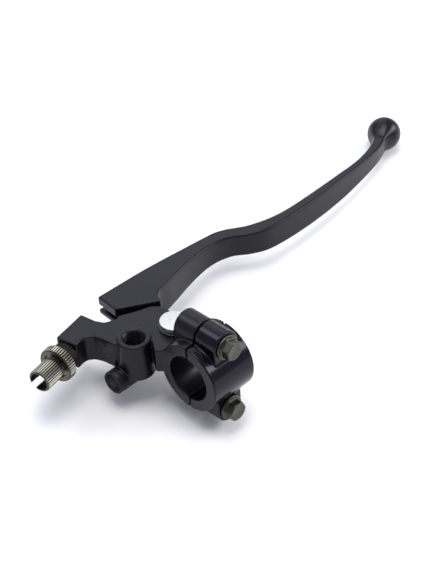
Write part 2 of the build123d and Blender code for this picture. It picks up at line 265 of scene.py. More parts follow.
def cast(name, distance, low, high, cell=None):
    """A casting: the closed net of points where the distance is zero, inside a box in millimetres."""
    cell = cell or CELL
    low, high = np.array(low, float), np.array(high, float)
    blocks = np.ceil((high - low) / (cell * BLOCK)).astype(int)
    centres = low + cell * (BLOCK * np.stack(np.indices(blocks), -1).reshape(-1, 3) + (BLOCK - 1) / 2)
    rough = distance(centres).reshape(blocks)
    for axis in range(3):
        rough = np.repeat(rough, BLOCK, axis)
    near = np.abs(rough) < cell * BLOCK
    rough[near] = distance(low + cell * np.argwhere(near))
    inside = rough < 0

    corner_sets = [tuple(slice(s, s - 1 or None) for s in shift) for shift in product((0, 1), repeat=3)]
    filled = sum(inside[c].astype(np.int8) for c in corner_sets)
    crossed = (filled > 0) & (filled < 8)
    number = np.full(crossed.shape, -1)
    number[crossed] = np.arange(crossed.sum())
    points = low + cell * (np.argwhere(crossed) + 0.5)

    quads = []
    for axis in range(3):
        u, v = np.eye(3, dtype=int)[(axis + 1) % 3], np.eye(3, dtype=int)[(axis + 2) % 3]
        first = [slice(1, -1)] * 3
        second = [slice(1, -1)] * 3
        first[axis], second[axis] = slice(0, -1), slice(1, None)
        start, end = inside[tuple(first)], inside[tuple(second)]
        at = np.argwhere(start != end) + u + v
        ring = np.stack([number[tuple((at - s).T)] for s in (0 * u, u, u + v, v)], 1)
        outward = start[start != end]
        quads.append(np.where(outward[:, None], ring, ring[:, ::-1]))
    quads = np.concatenate(quads)

    members = np.bincount(quads.ravel(), minlength=len(points))
    for relaxing in (True, True, False):
        points = settled(points, distance)
        if relaxing:
            spread = np.repeat(points[quads].mean(1), 4, axis=0)
            sums = [np.bincount(quads.ravel(), spread[:, i], len(points)) for i in range(3)]
            points = np.stack(sums, 1) / members[:, None]
    points = settled(points, distance)

    mesh = bpy.data.meshes.new(name)
    mesh.from_pydata(points * MM, [], quads.tolist())
    return shaded(add_object(name, mesh), 100)


def baked(piece):
    """The piece with its modifiers worked into a plain mesh."""
    graph = bpy.context.evaluated_depsgraph_get()
    mesh = bpy.data.meshes.new_from_object(piece.evaluated_get(graph))
    piece.modifiers.clear()
    piece.data = mesh
    return piece


def carved(piece, tool, operation="DIFFERENCE", degrees=35):
    """The piece with a tool's shape cut out of it, or joined to it. The tool is used up."""
    modifier = piece.modifiers.new("carve", "BOOLEAN")
    modifier.operation = operation
    modifier.solver = "MANIFOLD"
    modifier.object = tool
    baked(piece)
    bpy.data.objects.remove(tool)
    return shaded(piece, degrees)


def softened(piece, width, segments=3, degrees=35):
    """The piece with its sharp edges rounded, width in millimetres."""
    modifier = piece.modifiers.new("soften", "BEVEL")
    modifier.width = width * MM
    modifier.segments = segments
    modifier.limit_method = "ANGLE"
    modifier.angle_limit = radians(degrees)
    modifier.use_clamp_overlap = True
    baked(piece)
    return shaded(piece, 40)


def placed(piece, centre, axis, side=None):
    """The piece moved so that its own origin and +Z stand at a place, along an axis, with its +X to a side."""
    turn = Vector((0, 0, 1)).rotation_difference(Vector(axis)).to_matrix().to_4x4()
    if side is not None:
        across = Vector(axis).cross(Vector(side))
        turn = Matrix((Vector(side), across, Vector(axis))).transposed().to_4x4()
    piece.data.transform(Matrix.Translation(Vector(centre) * MM) @ turn)
    return piece


def turned(name, profile, centre, axis, around=96):
    """A lathe-turned piece. The profile is (radius, height) pairs, from axis to axis or as a closed ring."""
    closed = profile[0][0] > 0
    rings, points, faces = [], [], []
    for radius, height in profile:
        if radius == 0:
            rings.append([len(points)] * around)
            points.append((0, 0, height * MM))
            continue
        rings.append(list(range(len(points), len(points) + around)))
        points += [(radius * MM * cos(tau * i / around), radius * MM * sin(tau * i / around), height * MM)
                   for i in range(around)]
    if closed:
        rings.append(rings[0])
    for lower, upper in zip(rings, rings[1:]):
        for i in range(around):
            j = (i + 1) % around
            faces.append(list(dict.fromkeys((lower[i], lower[j], upper[j], upper[i]))))
    mesh = bpy.data.meshes.new(name)
    mesh.from_pydata(points, [], faces)
    return shaded(placed(add_object(name, mesh), centre, axis))


# ---------------------------------------------------------------------------
# Node trees: sockets used in plain arithmetic
# ---------------------------------------------------------------------------
class Wire:
    """A node socket that can stand in arithmetic: each operation adds a Math node."""

    def __init__(self, bench, socket):
        self.bench, self.socket = bench, socket

    def __add__(self, other):
        return self.bench.sum("ADD", self, other)

    def __sub__(self, other):
        return self.bench.sum("SUBTRACT", self, other)

    def __rsub__(self, other):
        return self.bench.sum("SUBTRACT", other, self)

    def __mul__(self, other):
        return self.bench.sum("MULTIPLY", self, other)

    def __truediv__(self, other):
        return self.bench.sum("DIVIDE", self, other)

    __radd__ = __add__
    __rmul__ = __mul__


class Bench:
    """Where a node tree is wired up."""

    def __init__(self, tree):
        self.tree = tree

    def node(self, kind, settings=(), **values):
        """Adds a node: its settings, then its sockets' values or links, by name or by i0, i1 for number."""
        made = self.tree.nodes.new(kind)
        for name, value in dict(settings).items():
            if name == "stops":
                for spot, (place, colour) in zip(range(len(value)), value):
                    stop = made.color_ramp.elements[spot] if spot < 2 else made.color_ramp.elements.new(place)
                    stop.position, stop.color = place, (*colour, 1)
            else:
                setattr(made, name, value)
        for name, value in values.items():
            number = name[1:] if name[0] == "i" and name[1:].isdigit() else None
            socket = made.inputs[int(number)] if number else made.inputs[name.replace("_", " ")]
            if isinstance(value, Wire):
                self.tree.links.new(value.socket, socket)
            else:
                socket.default_value = value
        return made

    def wire(self, kind, settings=(), out=0, **values):
        return Wire(self, self.node(kind, settings, **values).outputs[out])

    def sum(self, operation, *values):
        named = {f"i{i}": value for i, value in enumerate(values)}
        return self.wire("ShaderNodeMath", {"operation": operation}, **named)

    def vector(self, operation, *values, out=0):
        named = {f"i{i}": value for i, value in enumerate(values)}
        return self.wire("ShaderNodeVectorMath", {"operation": operation}, out=out, **named)


# ---------------------------------------------------------------------------
# Ridged shafts, grown by Geometry Nodes: straight knurls, screw threads
# ---------------------------------------------------------------------------
def ridged_shaft_tree():
    """A closed round shaft standing on the origin whose side carries ridges, straight or as a helix."""
    tree = bpy.data.node_groups.new("ridged_shaft", "GeometryNodeTree")
    face = tree.interface
    for name, kind in (("radius", "Float"), ("depth", "Float"), ("length", "Float"), ("ridges", "Float"),
                       ("twist", "Float"), ("lead_in", "Float"), ("around", "Int"), ("along", "Int"),
                       ("finish", "Material")):
        face.new_socket(name, in_out="INPUT", socket_type=f"NodeSocket{kind}")
    face.new_socket("Geometry", in_out="OUTPUT", socket_type="NodeSocketGeometry")
    bench = Bench(tree)
    entry = bench.node("NodeGroupInput")
    size = {socket.name: Wire(bench, socket) for socket in entry.outputs if socket.name}
    shaft = bench.wire("GeometryNodeMeshCylinder", Vertices=size["around"], Side_Segments=size["along"],
                       Radius=size["radius"], Depth=size["length"])
    place = bench.node("ShaderNodeSeparateXYZ", Vector=bench.wire("GeometryNodeInputPosition"))
    x, y, z = (Wire(bench, socket) for socket in place.outputs)
    height = z + size["length"] / 2
    angle = bench.sum("ARCTAN2", y, x)
    wave = bench.sum("COSINE", angle * size["ridges"] + height / size["length"] * size["twist"] * tau)
    from_end = bench.sum("MINIMUM", height, size["length"] - height)
    fade = bench.sum("MINIMUM", from_end / size["lead_in"], 1.0)
    crest = (wave + 1) * 0.5 * fade
    shrink = 1 - (1 - crest) * size["depth"] / size["radius"]
    moved = bench.wire("ShaderNodeCombineXYZ", X=x * shrink, Y=y * shrink, Z=height)
    shaped = bench.wire("GeometryNodeSetPosition", Geometry=shaft, Position=moved)
    whole = bench.wire("GeometryNodeRealizeInstances", Geometry=shaped)
    finished = bench.wire("GeometryNodeSetMaterial", Geometry=whole, Material=size["finish"])
    tree.links.new(finished.socket, bench.node("NodeGroupOutput").inputs[0])
    return tree


def coil_tree():
    """A round-wire coil spring that stands on the origin."""
    tree = bpy.data.node_groups.new("coil", "GeometryNodeTree")
    face = tree.interface
    for name, kind in (("radius", "Float"), ("wire", "Float"), ("length", "Float"), ("turns", "Float"),
                       ("steps", "Int"), ("finish", "Material")):
        face.new_socket(name, in_out="INPUT", socket_type=f"NodeSocket{kind}")
    face.new_socket("Geometry", in_out="OUTPUT", socket_type="NodeSocketGeometry")
    bench = Bench(tree)
    entry = bench.node("NodeGroupInput")
    size = {socket.name: Wire(bench, socket) for socket in entry.outputs if socket.name}
    spiral = bench.wire("GeometryNodeCurveSpiral", Resolution=size["steps"], Rotations=size["turns"],
                        Start_Radius=size["radius"], End_Radius=size["radius"], Height=size["length"])
    section = bench.wire("GeometryNodeCurvePrimitiveCircle", Resolution=10, Radius=size["wire"])
    swept = bench.wire("GeometryNodeCurveToMesh", Curve=spiral, Profile_Curve=section, Fill_Caps=True)
    whole = bench.wire("GeometryNodeRealizeInstances", Geometry=swept)
    finished = bench.wire("GeometryNodeSetMaterial", Geometry=whole, Material=size["finish"])
    tree.links.new(finished.socket, bench.node("NodeGroupOutput").inputs[0])
    return tree


def grown(name, tree, centre, axis, **sizes):
    """The plain mesh that a node tree grows with these sizes, in metres, standing at a place along an axis."""
    host = add_object(name, bpy.data.meshes.new(name))
    modifier = host.modifiers.new(name, "NODES")
    modifier.node_group = tree
    for item in tree.interface.items_tree:
        if item.in_out == "INPUT":
            modifier[item.identifier] = sizes[item.name]
    return shaded(placed(baked(host), centre, axis), 40)


# ---------------------------------------------------------------------------
# Finishes
# ---------------------------------------------------------------------------
def finish(name, colour, roughness, metallic=0.0, speckle=0.1, grain=900.0, relief=0.02,
           blotch=40.0, specular=0.5, tint=(1.0, 1.0, 1.0), crests=()):
    """A surface with cloudy and fine variation in colour and gloss, and a fine relief.

    Each knurl, given as (radius, depth) round the cable's line, gets painted shade in its valleys and a painted
    highlight on its crests.
    """
    material = bpy.data.materials.new(name)
    material.use_nodes = True
    tree = material.node_tree
    tree.nodes.clear()
    bench = Bench(tree)
    place = bench.wire("ShaderNodeTexCoord", out=3)
    clouds = bench.wire("ShaderNodeTexNoise", Vector=place, Scale=blotch, Detail=4.0)
    fine = bench.wire("ShaderNodeTexNoise", Vector=place, Scale=grain, Detail=3.0)
    shade = (clouds - 0.5) * speckle + (fine - 0.5) * speckle * 0.6 + 1.0
    for radius, depth in crests:
        spoke = bench.vector("SUBTRACT", place, tuple(barrel_mouth * MM))
        reach = bench.vector("LENGTH", bench.vector("CROSS_PRODUCT", spoke, tuple(cable_in)), out=1)
        band = bench.wire("ShaderNodeMapRange", {"interpolation_type": "SMOOTHSTEP"}, Value=reach,
                          From_Min=(radius - depth) * MM, From_Max=radius * MM, To_Min=0.0, To_Max=1.0)
        off_centre = bench.sum("ABSOLUTE", reach - (radius - depth / 2) * MM)
        on_knurl = bench.sum("LESS_THAN", off_centre, depth * 0.6 * MM)
        # Painted light on the knurls: valleys darkened to a fifth as painted shade, crests brightened up to 2.6
        # times as a painted highlight.
        shade = shade * (1.0 + on_knurl * (band * 2.4 - 0.8))
    base = bench.wire("ShaderNodeMix", {"data_type": "RGBA", "blend_type": "MULTIPLY"}, out=2,
                      i0=1.0, i6=(*colour, 1.0),
                      i7=bench.wire("ShaderNodeCombineColor", Red=shade, Green=shade, Blue=shade))
    gloss = (clouds - 0.5) * 0.12 + (fine - 0.5) * 0.08 + roughness
    bump = bench.wire("ShaderNodeBump", Strength=relief * 10, Distance=0.00005, Height=fine)
    shader = bench.node("ShaderNodeBsdfPrincipled", Base_Color=base, Roughness=gloss, Metallic=metallic,
                        Normal=bump, Specular_IOR_Level=specular, Specular_Tint=(*tint, 1.0))
    tree.links.new(shader.outputs[0], bench.node("ShaderNodeOutputMaterial").inputs[0])
    return material


satin_black = finish("satin_black", (0.0038, 0.0038, 0.0060), 0.30, speckle=0.5, relief=0.008, specular=0.27,
                     tint=(0.90, 0.87, 1.0))
gloss_black = finish("gloss_black", (0.0035, 0.0028, 0.0058), 0.17, speckle=0.3, relief=0.008, specular=0.24,
                     tint=(0.88, 0.82, 1.0))
bolt_grey = finish("bolt_grey", (0.085, 0.085, 0.072), 0.40, metallic=1.0, speckle=0.7)
bright_zinc = finish("bright_zinc", (0.56, 0.565, 0.55), 0.36, metallic=1.0, speckle=0.9, grain=1500)
dark_steel = finish("dark_steel", (0.07, 0.07, 0.075), 0.38, metallic=1.0, speckle=0.4)
spring_steel = finish("spring_steel", (0.38, 0.38, 0.39), 0.30, metallic=1.0)
# Gunmetal, with painted shade in the knurls' valleys and a painted highlight on their crests.
gunmetal = finish("gunmetal", (0.115, 0.112, 0.094), 0.32, metallic=1.0, speckle=0.4,
                  crests=((barrel_radius, barrel_knurl), (ring_radius, ring_knurl)))
bronze = finish("bronze", (0.50, 0.32, 0.16), 0.42, metallic=1.0, speckle=0.5)
brass = finish("brass", (0.68, 0.50, 0.22), 0.30, metallic=1.0)
black_rubber = finish("black_rubber", (0.006, 0.006, 0.005), 0.7, speckle=0.4, specular=0.2)
black_plastic = finish("black_plastic", (0.006, 0.006, 0.008), 0.5, speckle=0.4, specular=0.25)


def fitted(piece, material, body, slot, *nodes):
    """The piece gets its finish, rides on its body and stands for its CAD nodes."""
    piece.data.materials.clear()
    piece.data.materials.append(material)
    piece.data.polygons.foreach_set("material_index", [0] * len(piece.data.polygons))
    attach(piece, body)
    if nodes:
        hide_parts(*nodes)
    return piece


# ---------------------------------------------------------------------------
# Camera, floor and light
# ---------------------------------------------------------------------------
floor_slope = Vector((0.0605, 0.136))
floor_height = -26.2
floor_up = Vector((-floor_slope.x, -floor_slope.y, 1)).normalized()
camera_place = Vector((-389.6, -423.8, 500.8)) * MM
camera_look = Vector((0.53483, 0.57056, -0.62323)).normalized()


def aimed(look, up):
    """A rotation that looks along a direction, with up as upright as it can be."""
    right = look.cross(up).normalized()
    return Matrix((right, right.cross(look), -look)).transposed().to_4x4()


def add_camera():
    lens = bpy.data.cameras.new("camera")
    lens.lens = 107.24
    lens.clip_end = 20
    camera = bpy.data.objects.new("camera", lens)
    camera.matrix_world = Matrix.Translation(camera_place) @ aimed(camera_look, floor_up)
    bpy.context.scene.collection.objects.link(camera)
    bpy.context.scene.camera = camera


def add_floor(half=2.5):
    middle_point = Vector((0.08, 0.03))
    points = []
    for x, y in ((-half, -half), (half, -half), (half, half), (-half, half)):
        px, py = middle_point.x + x, middle_point.y + y
        points.append((px, py, floor_slope.x * px + floor_slope.y * py + floor_height * MM))
    mesh = bpy.data.meshes.new("floor")
    mesh.from_pydata(points, [], [(0, 1, 2, 3)])
    floor = add_object("floor", mesh)
    mesh.materials.append(finish("white_floor", (0.93, 0.93, 0.94), 0.6, speckle=0.0, relief=0.0, specular=0.2))


def add_light(name, place, target, width, height, power, colour=(1, 1, 1)):
    lamp = bpy.data.lights.new(name, "AREA")
    lamp.shape = "RECTANGLE"
    lamp.size, lamp.size_y = width, height
    lamp.energy = power
    lamp.color = colour
    holder = bpy.data.objects.new(name, lamp)
    look = (Vector(target) - Vector(place)).normalized()
    holder.matrix_world = Matrix.Translation(place) @ aimed(look, Vector((0.1, 0.2, 1)))
    bpy.context.scene.collection.objects.link(holder)


def add_world():
    world = bpy.data.worlds.new("studio")
    world.use_nodes = True
    back = world.node_tree.nodes["Background"]
    back.inputs["Color"].default_value = (0.86, 0.88, 1.0, 1)
    back.inputs["Strength"].default_value = 0.50
    bpy.context.scene.world = world


add_camera()
add_floor()
add_world()
add_light("overhead", (0.02, 0.02, 1.1), (0.06, 0.03, 0), 0.6, 0.6, 7.0, (1.0, 0.985, 0.96))
add_light("rear_softbox", (0.62, 0.76, 0.85), (0.06, 0.03, 0), 0.9, 0.9, 2.8, (0.93, 0.95, 1.0))
add_light("left_softbox", (-0.26, 0.62, 0.85), (0, 0.02, 0), 0.5, 0.35, 2.2, (0.95, 0.96, 1.0))
add_light("side_softbox", (0.80, -0.60, 0.50), (0.06, 0.03, 0), 0.9, 0.35, 9.0, (1.0, 0.99, 0.97))
scene = bpy.context.scene
scene.view_settings.view_transform = "Standard"
scene.cycles.use_denoising = True

# ---------------------------------------------------------------------------
# Lever: one casting, from the cable plates and hood along the blade to the ball
# ---------------------------------------------------------------------------
outer_edge = [
    (-6.1, 63.8), (25.7, 62.4), (56.6, 60.4), (68.3, 57.9), (80.4, 50.2),
    (96.1, 45.4), (117.0, 44.8), (140.4, 45.7), (157.4, 47.6), (171.0, 51.6), (182.0, 57.4),
]
inner_edge = [
    (10.6, 39.5), (14.0, 44.8), (24.0, 47.2), (40.8, 51.0), (55.5, 52.5), (66.8, 50.0), (74.8, 44.3),
    (84.5, 40.2), (104.5, 38.9), (127.1, 39.6), (153.0, 42.4), (173.1, 46.5), (186.0, 52.4),
]
hood_front = [(-7.3, 51.1)]
blade_top = [
    (-20.0, hood_top), (0.0, hood_top), (24.0, hood_top), (60.0, 7.8), (100.0, 8.4), (135.0, 8.1),
    (150.0, 7.3), (175.0, 6.0), (200.0, 5.6),
]
blade_bottom = [(-20.0, root_bottom), (0.0, root_bottom), (24.0, root_bottom), (60.0, -4.6)]
blade_bottom += [(x, 2 * lever_middle - z) for x, z in blade_top[4:]]
outer_line = smooth_line(outer_edge)
inner_line = smooth_line(inner_edge)
lever_outline = np.concatenate([outer_line, inner_line[::-1], hood_front])
top_line = smooth_line(blade_top)
bottom_line = smooth_line(blade_bottom)
tongue_outline = [(pivot[0] - eye_radius, pivot[1]), (-1.8, 49.0), (12.6, 46.0), (9.6, 39.0),
                  (pivot[0] + eye_radius, pivot[1])]
cable_slot_outline = with_round_corners(
    [(-14.0, 46.0), (-14.0, 70.0), (nipple[0], 70.0), (nipple[0] + 4.5, nipple[1]), (nipple[0], 52.0)], 1.0)
lug_arm_outline = [(lug[0] - lug_radius, lug[1]), (lug[0] - lug_radius, 44.0), (16.0, 45.0), (16.0, 40.0),
                   (lug[0] + lug_radius, lug[1])]
pivot_3d = (*pivot, 0.0)
upward = (0, 0, 1)


def lever_shape(p):
    x, y, z = p.T
    top = np.interp(x, *top_line.T)
    bottom = np.interp(x, *bottom_line.T)
    outer = np.interp(x, *outer_line.T)
    inner = np.interp(x, *inner_line.T)
    across = np.clip((y - inner) / (outer - inner), 0, 1)
    edge = 0.95 + 0.9 * across**2 * np.clip(x / 60, 0, 1)
    blade = shared(outline_distance(p, lever_outline), np.maximum(bottom - z, z - top), edge)
    under_plate = block(p, (-30, 30, -30), (8.4, 80, cable_plate_bottom), 0.0)
    slope = ((z - cable_plate_bottom) * 5.6 + (x - 5.4) * 5.6) / 7.9
    blade = cut(blade, np.maximum(slope, under_plate), 1.2)
    blade = joined(blade, np.linalg.norm(p - ball, axis=1) - ball_radius, 4.0)
    eye = rod(p, pivot_3d, upward, eye_radius, tongue_bottom, tongue_top, 0.4)
    eye = np.minimum(eye, plate(p, tongue_outline, tongue_bottom, tongue_top, 0.4))
    whole = joined(blade, eye, 0.6)
    finger = rod(p, (*lug, 0), upward, lug_radius, lug_bottom, plate_bottom - 0.3, 0.5)
    finger = joined(finger, plate(p, lug_arm_outline, root_bottom, plate_bottom - 0.3, 0.5), 0.8)
    whole = joined(whole, finger, 0.6)
    whole = cut(whole, rod(p, pivot_3d, upward, shoulder_radius + 1.2, -9, 9), 0.3)
    whole = cut(whole, plate(p, cable_slot_outline, cable_slot_bottom, cable_slot_top, 0.3), 0.5)
    return cut(whole, rod(p, nipple, upward, nipple_radius, -9, cable_slot_top - nipple[2], 0.3), 0.4)


lever_low, lever_high = corners("lever")
lever = cast("lever", lever_shape, lever_low - 1.5, lever_high + 1.5)
fitted(lever, satin_black, "lever_assembly", "cast_black", "lever")

# ---------------------------------------------------------------------------
# Perch: half of the clamp, the pivot plates, the mirror boss and the cable block
# ---------------------------------------------------------------------------
block_side = np.array([-cable_in[1], cable_in[0]]) * block_half_width
block_end = block_face[:2] + block_side + cable_in[:2] * block_length
plate_corners = [
    block_face[:2] + block_side, block_end, (-18.1, 52.6), (-16.2, 48.6), (-11.0, 46.4), (-8.6, 47.3),
    (-1.8, 43.8), (5.3, 41.2), (8.3, 38.0), (9.0, 33.6), (8.7, 29.4), (11.4, 25.4), (12.0, 22.0),
    (12.0, 10.0), (-12.3, 10.0), (-13.0, 14.9), (-15.2, 17.3), (-10.2, 24.9), (-15.4, 30.2),
    (-24.1, 33.9), (-25.0, 41.1), (-26.6, 45.3), (-29.3, 47.4), (-31.6, 47.5),
    block_face[:2] - block_side,
]
plate_outline = with_round_corners(plate_corners, 0.9)
arm_outline = with_round_corners(plate_corners[:4] + plate_corners[-7:], 0.9)
clevis_outline = [(pivot[0] - eye_radius - 1.2, pivot[1]), (-7.8, 56.0), (40.0, 56.0), (40.0, pivot[1] - 2.5),
                  (pivot[0], pivot[1] - 2.5)]
along_bar = (1, 0, 0)
forward = (0, 1, 0)


def bolt_bosses(p, front, edge=0.5):
    """The two round bosses that carry the clamp bolts, from the split to their ends."""
    low, high = sorted((0, front))
    bosses = np.full(len(p), 1e3)
    for height in (bolt_height, -bolt_height):
        boss = rod(p, (0, 0, height), forward, bolt_boss_radius, low, high, edge)
        root_low, root_high = sorted((height / 2, height))
        root = block(p, (-bolt_boss_radius, low, root_low), (bolt_boss_radius, high, root_high), edge)
        bosses = np.minimum(bosses, np.minimum(boss, root))
    return bosses


def perch_shape(p):
    x, y, z = p.T
    arm = plate(p, plate_outline, plate_bottom, plate_top, 0.75)
    taper = (mirror_rim_radius - mirror_foot_radius) / (mirror_top - mirror_bottom)
    boss = rod(p, (*mirror, 0), upward, mirror_foot_radius, mirror_bottom, mirror_top, 0.7, taper)
    arm = joined(arm, plate(p, arm_outline, arm_bottom, 0, 0.45), 0.3)
    body = joined(arm, boss, 0.5)
    sleeve = rod(p, (0, *switch[1:]), along_bar, sleeve_radius, switch_low[0] + switch_flange, sleeve_end, 0.5)
    body = joined(body, sleeve, 0.5)
    clamp = rod(p, (0, 0, 0), along_bar, clamp_radius, -clamp_half, clamp_half, 0.45)
    clamp = joined(clamp, bolt_bosses(p, perch_boss_front), 0.7)
    body = joined(body, clamp, 0.9)
    body = shared(body, half_gap - y, 0.3)
    body = cut(body, rod(p, (0, 0, 0), along_bar, bar_radius, -50, 50), 0.5)
    clevis = rod(p, pivot_3d, upward, eye_radius + 1.2, slot_bottom, slot_top, 0.3)
    clevis = np.minimum(clevis, plate(p, clevis_outline, slot_bottom, slot_top, 0.3))
    body = cut(body, clevis, 0.4)
    body = cut(body, rod(p, pivot_3d, upward, shoulder_radius + 0.05, slot_bottom - 1, 20, 0), 0.3)
    body = cut(body, rod(p, pivot_3d, upward, thread_radius + 0.05, -20, 5, 0), 0.3)
    body = cut(body, rod(p, (*mirror, mirror_top), upward, mirror_radius - 0.25, -mirror_depth, 9, 0.3), 0.1)
    body = cut(body, rod(p, (*mirror, mirror_top), upward, mirror_radius - 0.3, -0.9, 1, 0, 1.0), 0.1)
    body = cut(body, rod(p, block_face, cable_in, adjuster_thread + 0.05, -3, block_length + 3, 0), 0.4)
    body = cut(body, rod(p, (0, *switch[1:]), along_bar, switch_body + 0.05, -60, 20, 0), 0.3)
    for height in (bolt_height, -bolt_height):
        body = cut(body, rod(p, (0, 0, height), forward, thread_radius + 0.05, -20, 9, 0.3), 0.2)
    return body


perch_low, perch_high = corners("perch")
perch = cast("perch", perch_shape, perch_low - 1.5, perch_high + 1.5)
fitted(perch, satin_black, "perch_assembly", "cast_black", "perch")


# ---------------------------------------------------------------------------
# Clamp cap
# ---------------------------------------------------------------------------
def cap_shape(p):
    x, y, z = p.T
    clamp = rod(p, (0, 0, 0), along_bar, clamp_radius, -clamp_half, clamp_half, 0.45)
    clamp = joined(clamp, bolt_bosses(p, cap_boss_front), 0.7)
    clamp = shared(clamp, y + half_gap, 0.3)
    clamp = cut(clamp, rod(p, (0, 0, 0), along_bar, bar_radius, -50, 50), 0.5)
    for height in (bolt_height, -bolt_height):
        clamp = cut(clamp, rod(p, (0, 0, height), forward, thread_radius + 0.2, -50, 50), 0.2)
    return clamp


cap_low, cap_high = corners("clamp_cap")
cap = cast("clamp_cap", cap_shape, cap_low - 1.5, cap_high + 1.5)
fitted(cap, gloss_black, "perch_assembly", "cast_black", "clamp_cap")

# ---------------------------------------------------------------------------
# Bolts, screw and nut
# ---------------------------------------------------------------------------
backward = (0, -1, 0)
downward = (0, 0, -1)
shaft_tree = ridged_shaft_tree()
spring_tree = coil_tree()


def threaded(name, radius, pitch, length, centre, axis, material, depth=0.62, around=48):
    """A length of screw thread; depth is its share of the pitch."""
    return grown(name, shaft_tree, centre, axis, radius=radius * MM, depth=depth * pitch * MM,
                 length=length * MM, ridges=1.0, twist=-length / pitch, lead_in=0.6 * pitch * MM,
                 around=around, along=int(length / pitch * 10), finish=material)


def plug(name, centre, axis, radius, length):
    """A plain round tool for cutting bores."""
    return turned(name, [(0, 0), (radius, 0), (radius, length), (0, length)], centre, axis, 64)


def brick(name, centre, axis, side, size):
    """A box tool that stands on a place along an axis; size is its width to the side, depth and length."""
    x, y, z = np.array(size) * MM / 2
    points = [(a * x, b * y, c * z + z) for c in (-1, 1) for a, b in ((-1, -1), (1, -1), (1, 1), (-1, 1))]
    faces = [(3, 2, 1, 0), (4, 5, 6, 7)] + [(i, (i + 1) % 4, (i + 1) % 4 + 4, i + 4) for i in range(4)]
    mesh = bpy.data.meshes.new(name)
    mesh.from_pydata(points, [], faces)
    return placed(add_object(name, mesh), centre, axis, side)


def hexagon(p, centre, axis, first_flat, flats, start, end, corner=0.35, chamfer=30):
    """A hexagon bar whose far end is chamfered, its first flat facing a given way."""
    offset = p - np.array(centre, float)
    axis = np.array(axis, float)
    first = np.array(first_flat, float)
    second = np.cross(axis, first)
    along = offset @ axis
    a, b = offset @ first, offset @ second
    sides = [np.abs(a * cos(turn) + b * sin(turn)) - flats / 2 for turn in (0, pi / 3, 2 * pi / 3)]
    bar = shared(shared(sides[0], sides[1], corner), sides[2], corner)
    bar = shared(bar, between(along, start, end), 0.2)
    cone = (along - end) * cos(radians(chamfer)) + (np.hypot(a, b) - flats * 0.46) * sin(radians(chamfer))
    return shared(bar, cone, 0.15)


m6_pitch = 1.0
fine = 0.17


def clamp_bolt(node, lean):
    """A flange-head bolt. lean turns its hexagon."""
    low, high = corners(node)
    height = middle(node)[2]
    seat = cap_boss_front
    face = seat - flange_thickness - hex_height
    first_flat = (cos(radians(lean)), 0, sin(radians(lean)))

    def head_shape(p):
        offset = (0, 0, height)
        head = hexagon(p, offset, backward, first_flat, hex_flats, -seat, -face)
        collar = rod(p, offset, backward, flange_radius, -seat, -seat + flange_thickness, 0.35)
        head = joined(head, collar, 0.5)
        dish = np.linalg.norm(p - np.array([0, face - 14.2, height]), axis=1) - 14.6
        head = cut(head, dish, 0.3)
        return np.minimum(head, rod(p, offset, backward, thread_radius - 0.05, 0, -seat + 0.5, 0.1))

    bolt = cast(node, head_shape, (-7, face - 1, height - 7), (7, 1, height + 7), fine)
    tip = high[1]
    thread = threaded("thread", thread_radius, m6_pitch, tip + 0.6, (0, -0.6, height), forward, bolt_grey)
    fitted(carved(bolt, thread, "UNION"), bolt_grey, "perch_assembly", "bolt_steel", node)


clamp_bolt("upper_clamp_bolt", 8)
clamp_bolt("lower_clamp_bolt", 24)

washer_low, washer_high = corners("pivot_washer")
screw_low, screw_high = corners("pivot_screw")
nut_low, nut_high = corners("pivot_nut")
head_radius = (screw_high[0] - screw_low[0]) / 2
head_seat = washer_high[2]

screw = turned("pivot_screw", [
    (0, slot_bottom - 0.5), (thread_radius - 0.3, slot_bottom - 0.5), (thread_radius - 0.3, slot_bottom),
    (shoulder_radius, slot_bottom), (shoulder_radius, head_seat), (head_radius, head_seat),
    (head_radius, screw_high[2]), (0, screw_high[2])], pivot_3d, upward)
screw = softened(screw, 0.45, 4)
screw_thread = threaded("thread", thread_radius, m6_pitch, slot_bottom - screw_low[2], (*pivot, screw_low[2]),
                        upward, bright_zinc)
fitted(carved(screw, screw_thread, "UNION"), bright_zinc, "perch_assembly", "zinc_steel", "pivot_screw")


def ring(node, outer, inner, place, axis, length, edge, material, body, slot):
    """A turned ring such as a washer or a bush, standing on a place."""
    piece = turned(node, [(inner, 0), (outer, 0), (outer, length), (inner, length)], place, axis)
    return fitted(softened(piece, edge), material, body, slot, node)


washer_radius = (washer_high[0] - washer_low[0]) / 2
ring("pivot_washer", washer_radius, shoulder_radius + 0.05, (*pivot, washer_low[2]), upward,
     washer_high[2] - washer_low[2], 0.25, dark_steel, "perch_assembly", "dark_steel")
bush_low, bush_high = corners("pivot_bush")
ring("pivot_bush", (bush_high[0] - bush_low[0]) / 2 - 0.02, shoulder_radius + 0.05,
     (*pivot, bush_low[2]), upward, bush_high[2] - bush_low[2], 0.3, bronze, "lever_assembly", "bronze")

spring_washer_low = corners("pivot_spring_washer")[0]
washer_inner, washer_outer, washer_height = thread_radius + 0.15, 5.2, 1.2
split_washer = turned("pivot_spring_washer", [
    (washer_inner, 0), (washer_outer, 0), (washer_outer, washer_height), (washer_inner, washer_height)],
    (*pivot, spring_washer_low[2]), upward)
split = brick("split", (pivot[0] + 4.2, pivot[1], spring_washer_low[2] - 1), upward, along_bar, (4, 0.8, 4))
split_washer = softened(carved(split_washer, split), 0.12, 2)
fitted(split_washer, spring_steel, "perch_assembly", "spring_steel", "pivot_spring_washer")


def nut_shape(p):
    flats = 10.0
    nut = hexagon(p, pivot_3d, downward, (0.94, 0.34, 0), flats, -nut_high[2], -nut_low[2])
    cone = (np.hypot(p[:, 0] - pivot[0], p[:, 1] - pivot[1]) - flats * 0.46) * 0.5
    nut = shared(nut, cone + (p[:, 2] - nut_high[2]) * 0.866, 0.15)
    return cut(nut, rod(p, pivot_3d, upward, thread_radius + 0.12, -30, 30), 0.5)


nut = cast("pivot_nut", nut_shape, nut_low - 1, nut_high + 1, fine)
fitted(nut, bright_zinc, "perch_assembly", "zinc_steel", "pivot_nut")

